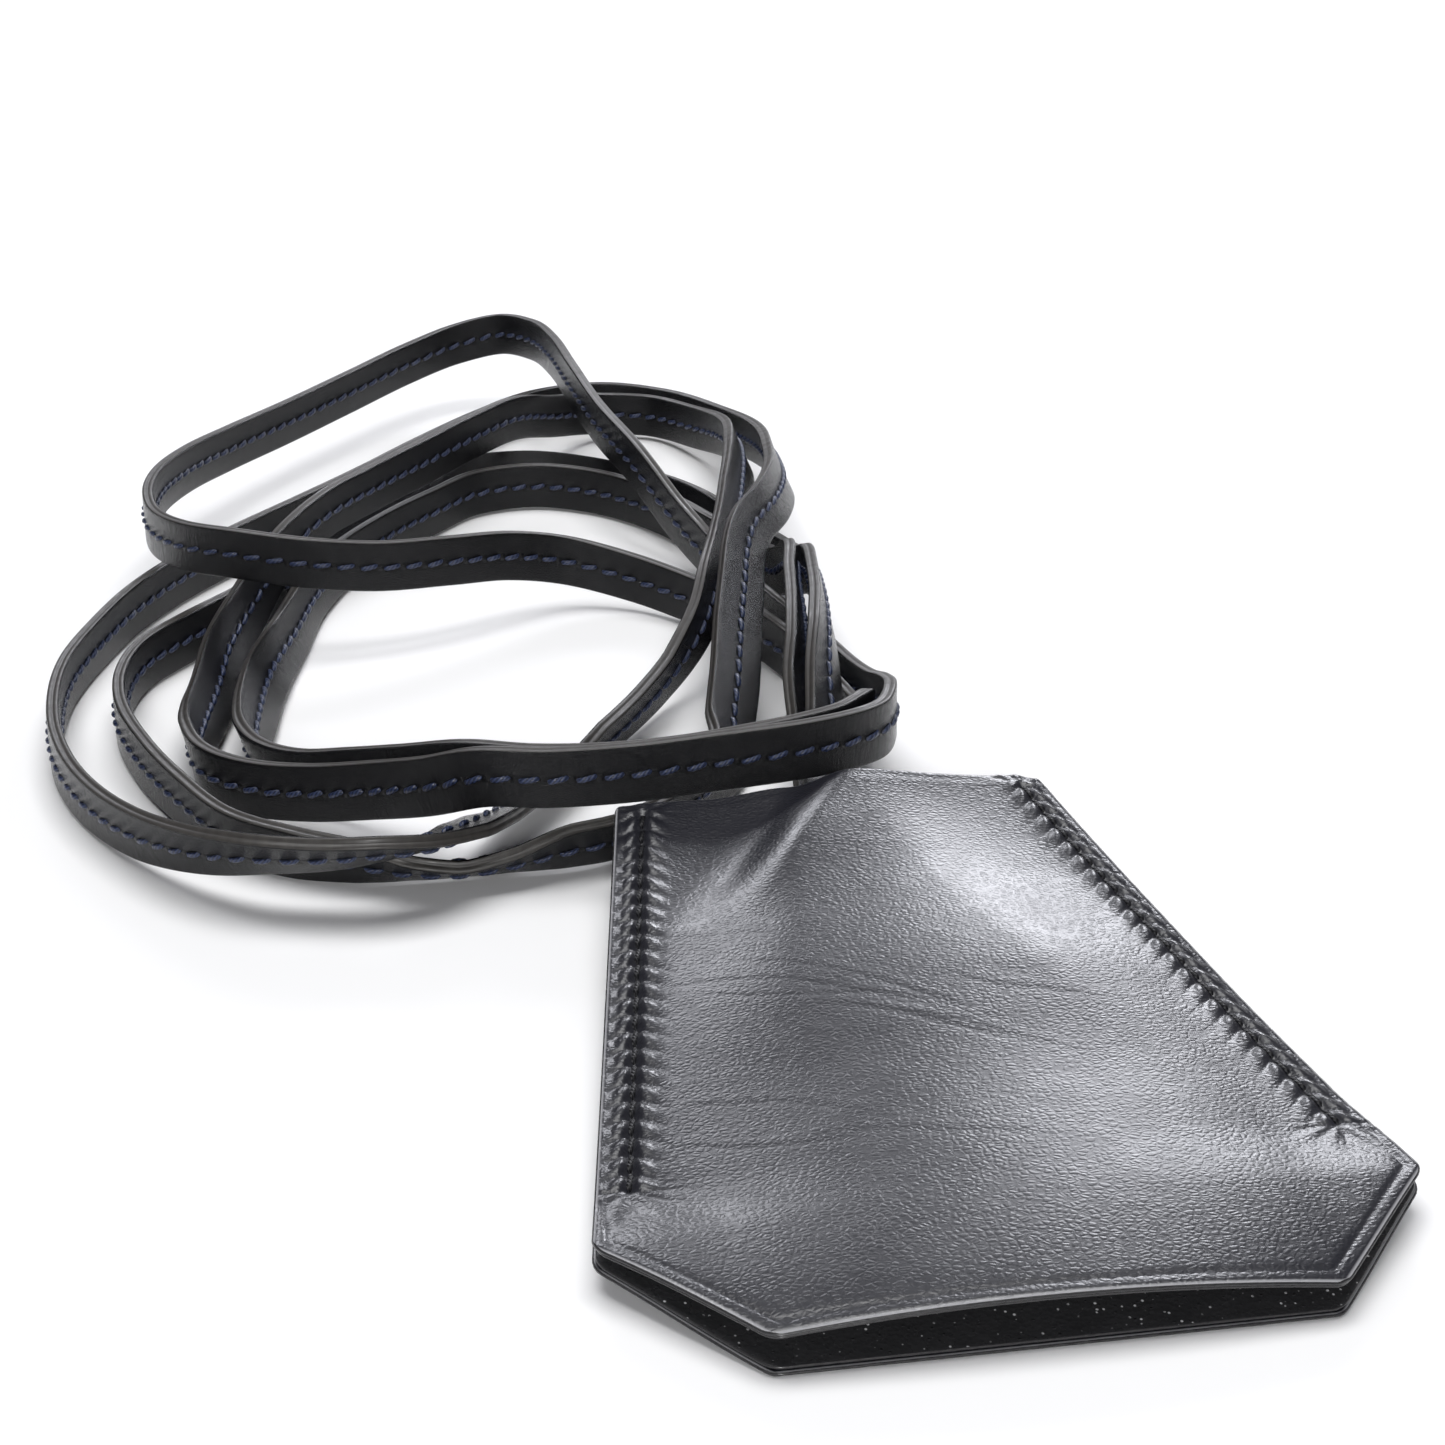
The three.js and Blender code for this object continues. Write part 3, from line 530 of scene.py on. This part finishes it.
def sheet_grid(step, inset, corner=0.9):
    """x and y over a sheet of the bell, with its four end corners rounded."""
    ends = corner * (1 - np.cos(np.linspace(0, math.pi / 2, 6)))[:-1]
    middle = np.linspace(corner, TOP_Y - MOUTH_Y - 2 * inset - corner, int((TOP_Y - MOUTH_Y) / step))
    run = np.concatenate([ends, middle, TOP_Y - MOUTH_Y - 2 * inset - ends[::-1]])
    y = MOUTH_Y + inset + run
    near = np.clip(corner - np.minimum(run, run[-1] - run), 0, corner)
    half = half_width(y) - inset - (corner - np.sqrt(corner * corner - near * near))
    count = int(2 * WIDE_HALF / step)
    u = np.linspace(-1, 1, count)
    return half[:, None] * u[None, :], np.repeat(y[:, None], count, axis=1)


# Where the rings of points round a cut edge are, as shares of the sheet's thickness.
RIM_STEPS = (0.06, 0.24, 0.5, 0.76, 0.94)


def make_sheet(name, step, inset, inner, side, near, far, face, materials):
    """A closed sheet between two offsets from the inner face, with a rounded cut edge."""
    x, y = sheet_grid(step, inset)
    base = inner(x, y)
    outer = base + side * (far + face(x, y))
    under = base + side * near
    rows, columns = x.shape
    top = np.stack([x, y, outer], axis=-1)
    low = np.stack([x, y, under], axis=-1)
    index = np.arange(rows * columns).reshape(rows, columns)
    loop = np.concatenate([index[0, :-1], index[:-1, -1], index[-1, :0:-1], index[:0:-1, 0]])
    quad = np.stack([index[:-1, :-1], index[:-1, 1:], index[1:, 1:], index[1:, :-1]], -1).reshape(-1, 4)
    if side < 0:
        quad = quad[:, ::-1]
        loop = loop[::-1]
    count = rows * columns
    a, b = top.reshape(-1, 3)[loop], low.reshape(-1, 3)[loop]
    outward = unit(np.roll(a, -1, axis=0) - np.roll(a, 1, axis=0))[:, [1, 0, 2]] * [side, -side, 0]
    bulge = min(0.35 * (far - near), 0.16)
    rims = [a + (b - a) * t + outward * (bulge * math.sin(math.pi * t) ** 0.6) for t in RIM_STEPS]
    points = np.concatenate([top.reshape(-1, 3), low.reshape(-1, 3)] + rims)
    faces = quad.tolist() + (quad[:, ::-1] + count).tolist()
    rings = [2 * count + k * len(loop) + np.arange(len(loop)) for k in range(len(RIM_STEPS))]
    rings = [loop] + rings + [loop + count]
    rim_start = len(faces)
    for first, second in zip(rings[:-1], rings[1:]):
        strip = np.stack([first, second, np.roll(second, -1), np.roll(first, -1)], -1)
        faces += strip.tolist()
    uv = points[:, :2]
    edge = edge_distance(points[:, 0], points[:, 1])
    mesh = mesh_of(name, set_down(points), faces, uv, {"from_edge": np.clip(edge, 0, 5)})
    piece = add_object(name, mesh, *materials)
    index = np.zeros(len(mesh.polygons), np.int32)
    index[rim_start:] = len(materials) - 1
    mesh.polygons.foreach_set("material_index", index)
    return piece


def plain(x, y):
    """Nothing added to a sheet's smooth shape."""
    return 0 * x


def make_bell(leather, lining, cut_edge, lining_edge):
    """Two outer leathers and two linings, each a closed sheet."""
    fine, leather_near = (0.33), LINING + GLUE
    sheets = [
        ("front_leather", fine, 0.0, folded_front, 1, leather_near, PANEL, front_face,
         (leather, cut_edge), "front_panel", "bell_leather"),
        ("front_lining_sheet", 0.8, LINING_INSET, folded_front, 1, 0.0, LINING, plain,
         (lining, lining_edge), "front_lining", "lining_leather"),
        ("back_leather", 0.6, 0.0, back_inner, -1, leather_near, PANEL, back_face,
         (leather, cut_edge), "back_panel", "bell_leather"),
        ("back_lining_sheet", 0.8, LINING_INSET, back_inner, -1, 0.0, LINING, plain,
         (lining, lining_edge), "back_lining", "lining_leather"),
    ]
    for name, grid, inset, inner, side, near, far, face, materials, node, slot in sheets:
        piece = make_sheet(name, grid, inset, inner, side, near, far, face, materials)
        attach(piece, "bell_and_strap")
        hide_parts(node)


def make_seam_thread(name, side, node, thread):
    """Stitches on both faces of one seam, from hole to hole, lying down in the groove."""
    points, faces, uv = [], [], []
    bed = PANEL - 0.30
    for face, inner in ((1, folded_front), (-1, back_inner)):
        for n in range(STITCHES):
            ends = []
            for k, across in ((n + 0.06, -0.16), (n + 0.94, 0.16)):
                x, y = seam_point(side, k)
                x += across * face * side
                ends.append(np.array([x, y, inner(np.float64(x), np.float64(y)) + face * bed]))
            middle = (ends[0] + ends[1]) / 2
            high = inner(middle[0], middle[1]) + face * bed
            out = np.array([0.0, 0.0, float(face)])
            across = unit(np.cross(out, ends[1] - ends[0]))
            rise = 0.2 + face * float(high - middle[2]) / THREAD_RADIUS
            faces += tube_faces(len(STITCH_RINGS), THREAD_AROUND, len(points))
            points += stitch(ends[0], ends[1], out, across, rise, 0.75)
            uv += stitch_uv(n * SEAM_PITCH, SEAM_PITCH)
    piece = add_object(name, mesh_of(name, set_down(np.array(points)), faces, uv), thread)
    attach(piece, "bell_and_strap")
    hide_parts(node)


# ---------------------------------------------------------------- materials
class Nodes:
    """A material's node tree, with a method for each kind of node used here."""

    def __init__(self, name):
        self.material = bpy.data.materials.new(name)
        self.material.use_nodes = True
        self.tree = self.material.node_tree
        self.bsdf = self.tree.nodes["Principled BSDF"]

    def node(self, kind, settings=None, **inputs):
        made = self.tree.nodes.new(kind)
        for key, value in (settings or {}).items():
            setattr(made, key, value)
        for key, value in inputs.items():
            self.put(made.inputs[key.replace("_", " ")], value)
        return made

    def put(self, socket, value):
        if isinstance(value, bpy.types.NodeSocket):
            self.tree.links.new(value, socket)
        else:
            socket.default_value = value

    def math(self, operation, a, b=0.0, c=0.0):
        made = self.tree.nodes.new("ShaderNodeMath")
        made.operation = operation
        for socket, value in zip(made.inputs, (a, b, c)):
            self.put(socket, value)
        return made.outputs[0]

    def place(self, scale, uv=False):
        """Object or UV coordinates in millimetres, stretched by scale."""
        source = self.tree.nodes.new("ShaderNodeTexCoord").outputs["UV" if uv else "Object"]
        unit_scale = 1.0 if uv else 1000.0
        made = self.tree.nodes.new("ShaderNodeMapping")
        self.put(made.inputs["Vector"], source)
        made.inputs["Scale"].default_value = [unit_scale * k for k in scale]
        return made.outputs["Vector"]

    def noise(self, vector, size, detail=3.0, roughness=0.5, distortion=0.0):
        made = self.node("ShaderNodeTexNoise", None, Vector=vector, Scale=1.0 / size, Detail=detail,
                         Roughness=roughness, Distortion=distortion)
        return made.outputs["Fac"]

    def cells(self, vector, size, feature="F1", smooth=0.0):
        kind = "SMOOTH_F1" if smooth else feature
        made = self.node("ShaderNodeTexVoronoi", {"feature": kind}, Vector=vector, Scale=1.0 / size)
        if smooth:
            made.inputs["Smoothness"].default_value = smooth
        return made.outputs["Distance"]

    def ramp(self, value, low, high, to_low=0.0, to_high=1.0):
        made = self.tree.nodes.new("ShaderNodeMapRange")
        made.interpolation_type = "SMOOTHSTEP"
        for socket, v in zip(made.inputs, (value, low, high, to_low, to_high)):
            self.put(socket, v)
        return made.outputs[0]

    def mix(self, factor, a, b):
        made = self.tree.nodes.new("ShaderNodeMix")
        made.data_type = "RGBA"
        self.put(made.inputs["Factor"], factor)
        for key, value in (("A", a), ("B", b)):
            socket = [s for s in made.inputs if s.name == key and s.type == "RGBA"][0]
            self.put(socket, value if isinstance(value, bpy.types.NodeSocket) else (*value, 1.0))
        return [s for s in made.outputs if s.type == "RGBA"][0]

    def bump(self, height, depth_mm, strength=1.0, below=None):
        made = self.node("ShaderNodeBump", None, Height=height, Distance=depth_mm * MM, Strength=strength)
        if below is not None:
            self.put(made.inputs["Normal"], below)
        return made.outputs["Normal"]

    def finish(self, colour, roughness, normal, specular=0.5):
        self.put(self.bsdf.inputs["Base Color"], colour)
        self.put(self.bsdf.inputs["Roughness"], roughness)
        self.put(self.bsdf.inputs["Normal"], normal)
        self.put(self.bsdf.inputs["Specular IOR Level"], specular)
        return self.material


def bell_leather():
    """Satin blue-black calf with a fine pebbled grain, and a painted highlight: lighter grey colour along
    its cut edges.
    """
    n = Nodes("bell_leather")
    at = n.place((1, 1, 1))
    drawn = n.place((0.8, 1.0, 1.0))
    grain = n.ramp(n.cells(drawn, 0.6, "DISTANCE_TO_EDGE"), 0.0, 0.35)
    pores = n.noise(at, 0.25, 2.0, 0.6)
    height = n.math("ADD", n.math("MULTIPLY", grain, 0.6), n.math("MULTIPLY", pores, 0.25))
    broad = n.noise(at, 9.0, 3.0, 0.55)
    from_edge = n.node("ShaderNodeAttribute", {"attribute_name": "from_edge"}).outputs["Fac"]
    # Painted highlight: the colour turns light grey within 0.3 mm of the cut edge, standing in for light
    # caught on the rounded edge.
    painted_edge_highlight = n.ramp(from_edge, 0.04, 0.30, 1.0, 0.0)
    colour = n.mix(broad, (0.009, 0.0092, 0.0135), (0.014, 0.0142, 0.0195))
    colour = n.mix(n.math("MULTIPLY", painted_edge_highlight, 0.8), colour, (0.42, 0.42, 0.44))
    roughness = n.ramp(n.noise(at, 5.0, 3.0, 0.6), 0.3, 0.7, 0.29, 0.33)
    normal = n.bump(height, 0.03, 1.0, n.bump(broad, 0.05, 0.3))
    return n.finish(colour, roughness, normal, 0.6)


def cut_edge():
    """Painted and polished cut edge: two glued layers with fine lengthwise streaks."""
    n = Nodes("cut_edge")
    at = n.place((1, 1, 1))
    streak = n.noise(n.place((0.25, 0.25, 4.0)), 0.3, 3.0, 0.6)
    colour = n.mix(n.noise(at, 0.8, 3.0), (0.012, 0.012, 0.013), (0.035, 0.034, 0.036))
    return n.finish(colour, n.ramp(streak, 0.3, 0.7, 0.24, 0.36), n.bump(streak, 0.03, 0.5), 0.6)


def lining_leather():
    """Glossy black lining with sparse painted glints: near-white flecks in its colour."""
    n = Nodes("lining_leather")
    at = n.place((1, 1, 1))
    grain = n.cells(at, 0.55, smooth=0.2)
    sharp = n.ramp(n.cells(at, 0.9), 0.0, 0.22, 1.0, 0.0)
    height = n.math("ADD", grain, n.math("MULTIPLY", sharp, 1.6))
    colour = n.mix(n.noise(at, 4.0), (0.035, 0.035, 0.037), (0.055, 0.055, 0.058))
    # Painted glints: sparse near-white flecks in the base colour stand in for light sparkling off the
    # lining's grain.
    glint = n.ramp(n.cells(n.place((1.0, 0.8, 1.0)), 0.75), 0.12, 0.2, 1.0, 0.0)
    colour = n.mix(n.math("MULTIPLY", glint, n.ramp(n.noise(at, 1.7), 0.46, 0.56)), colour, (0.9, 0.9, 0.92))
    return n.finish(colour, n.ramp(n.noise(at, 2.0), 0.3, 0.7, 0.2, 0.32), n.bump(height, 0.05, 0.8), 0.5)


def strap_leather(name, uv):
    """Glossy black strap leather: fine speckle, cross wrinkles, and a dimple at every stitch hole."""
    n = Nodes(name)
    at = n.place((1, 1, 1), uv)
    wrinkles = n.noise(n.place((1.0, 0.16, 1.0), uv), 0.55, 4.0, 0.65, 0.4)
    speckle = n.noise(n.place((1.0, 1.6, 1.0), uv), 0.3, 3.0, 0.7)
    height = n.math("ADD", n.math("MULTIPLY", wrinkles, 0.8), n.math("MULTIPLY", speckle, 0.9))
    normal = n.bump(height, 0.16, 1.0)
    if uv:
        parts = n.node("ShaderNodeSeparateXYZ", None, Vector=at)
        turn = n.math("FRACT", n.math("DIVIDE", n.math("SUBTRACT", parts.outputs["X"], STITCHED_FROM),
                                      STRAP_PITCH))
        off = n.math("MULTIPLY", n.math("ABSOLUTE", n.math("SUBTRACT", turn, 0.89)), STRAP_PITCH)
        wide = n.math("ABSOLUTE", parts.outputs["Y"])
        reach = n.math("SQRT", n.math("ADD", n.math("POWER", off, 2.0), n.math("POWER", wide, 2.0)))
        normal = n.bump(n.ramp(reach, 0.1, 0.6, 0.0, 1.0), 0.2, 0.9, normal)
    colour = n.mix(n.noise(at, 3.0), (0.003, 0.003, 0.0035), (0.008, 0.008, 0.0095))
    roughness = n.ramp(n.noise(at, 0.9, 3.0), 0.35, 0.65, 0.13, 0.24)
    return n.finish(colour, roughness, normal, 0.28)


def strap_edge():
    """The strap's dyed edges, a little browner and duller than its faces."""
    n = Nodes("strap_edge")
    streak = n.noise(n.place((0.12, 3.0, 3.0), True), 0.25, 3.0, 0.6)
    colour = n.mix(n.noise(n.place((1, 1, 1), True), 1.2), (0.018, 0.017, 0.016), (0.060, 0.055, 0.051))
    return n.finish(colour, n.ramp(streak, 0.3, 0.7, 0.34, 0.5), n.bump(streak, 0.025, 0.8), 0.4)


def thread(name, low, high, roughness, specular=0.5):
    """Waxed twisted thread."""
    n = Nodes(name)
    twist = n.node("ShaderNodeTexWave", {"wave_type": "BANDS", "bands_direction": "DIAGONAL"},
                   Vector=n.place((2.2, 5.0, 1.0), True), Scale=0.45, Distortion=0.6).outputs["Fac"]
    colour = n.mix(twist, low, high)
    return n.finish(colour, roughness, n.bump(twist, 0.06, 0.8), specular)


def floor_paper():
    """Matt white paper."""
    n = Nodes("white_sweep")
    at = n.place((1, 1, 1))
    colour = n.mix(n.noise(at, 60.0), (0.915, 0.915, 0.92), (0.93, 0.93, 0.935))
    return n.finish(colour, 0.8, n.bump(n.noise(at, 1.5, 2.0), 0.02, 0.2), 0.1)


# ---------------------------------------------------------------- making it all
strap_piece, strap_line = make_strap(strap_leather("strap_leather", True), strap_edge())
strap_blue_thread = thread("strap_thread", (0.008, 0.012, 0.030), (0.035, 0.050, 0.115), 0.34)
stitches_piece = make_strap_stitches(strap_line, strap_blue_thread)

seam_black = thread("seam_thread", (0.002, 0.002, 0.003), (0.009, 0.009, 0.011), 0.42, 0.2)
make_bell(bell_leather(), lining_leather(), cut_edge(), cut_edge())
make_seam_thread("left_seam_stitches", -1, "left_seam_thread", seam_black)
make_seam_thread("right_seam_stitches", 1, "right_seam_thread", seam_black)


def finish_inner_parts():
    """The key loop and the sewn strap ends keep their CAD shape and get leather and thread."""
    leather = strap_leather("inner_leather", False)
    for node, material in (("strap_ends", leather), ("key_loop", leather), ("end_thread", seam_black)):
        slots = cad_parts[node].material_slots
        for slot in slots:
            slot.material = material
        if not len(slots):
            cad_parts[node].data.materials.append(material)


finish_inner_parts()


# ---------------------------------------------------------------- floor and light
def make_floor():
    """A plain white floor, a hair below what lies on it."""
    size, count, drop = 4.0, 24, 0.00003
    line = np.linspace(-size / 2, size / 2, count)
    x, y = np.meshgrid(line, line, indexing="ij")
    quads = [(i * count + j, (i + 1) * count + j, (i + 1) * count + j + 1, i * count + j + 1)
             for i in range(count - 1) for j in range(count - 1)]
    mesh = mesh_of("white_floor", np.stack([x, y, 0 * x - drop], -1), quads)
    add_object("white_floor", mesh, floor_paper())


def area_light(name, at, towards, size, power, colour=(1, 1, 1)):
    data = bpy.data.lights.new(name, "AREA")
    data.shape, data.size, data.size_y = "RECTANGLE", size[0], size[1]
    data.energy, data.color = power, colour
    light = bpy.data.objects.new(name, data)
    light.location = at
    light.rotation_euler = (Vector(towards) - Vector(at)).to_track_quat("-Z", "Y").to_euler()
    bpy.context.scene.collection.objects.link(light)


def make_world(behind, ahead, horizon):
    """A dim room, a little brighter behind the bell than in front, and darker towards the floor."""
    world = bpy.data.worlds.new("soft_studio")
    world.use_nodes = True
    tree = world.node_tree
    ray = tree.nodes.new("ShaderNodeTexCoord").outputs["Generated"]
    parts = tree.nodes.new("ShaderNodeSeparateXYZ")
    tree.links.new(ray, parts.inputs[0])

    def ramp(value, low, high, to_low, to_high):
        made = tree.nodes.new("ShaderNodeMapRange")
        made.interpolation_type = "SMOOTHSTEP"
        tree.links.new(value, made.inputs[0])
        for socket, v in zip(made.inputs[1:5], (low, high, to_low, to_high)):
            socket.default_value = v
        return made.outputs[0]

    level = tree.nodes.new("ShaderNodeMath")
    level.operation = "MULTIPLY"
    tree.links.new(ramp(parts.outputs["Y"], -0.1, 0.55, ahead, behind), level.inputs[0])
    tree.links.new(ramp(parts.outputs["Z"], 0.0, 0.42, horizon, 1.0), level.inputs[1])
    background = tree.nodes["Background"]
    background.inputs["Color"].default_value = (0.96, 0.965, 1.06, 1.0)
    tree.links.new(level.outputs[0], background.inputs["Strength"])
    bpy.context.scene.world = world


COOL = (0.93, 0.94, 1.0)
make_floor()
make_world(0.13, 0.10, 0.35)
area_light("overhead", (-0.05, 0.15, 1.3), (-0.03, 0.08, 0), (1.1, 0.9), 16)
area_light("back_left", (-0.05, 1.18, 0.58), (0.0, 0.05, 0), (0.3, 0.25), 2.2, COOL)
area_light("back_right", (0.47, 1.20, 0.54), (0.02, 0.05, 0), (0.30, 0.30), 4.2, COOL)
area_light("glint", (-0.15, -0.85, 0.34), (-0.03, 0.1, 0), (0.10, 0.10), 4)
bpy.context.scene.view_settings.view_transform = "Standard"
bpy.context.scene.view_settings.look = "None"

bpy.context.view_layer.update()
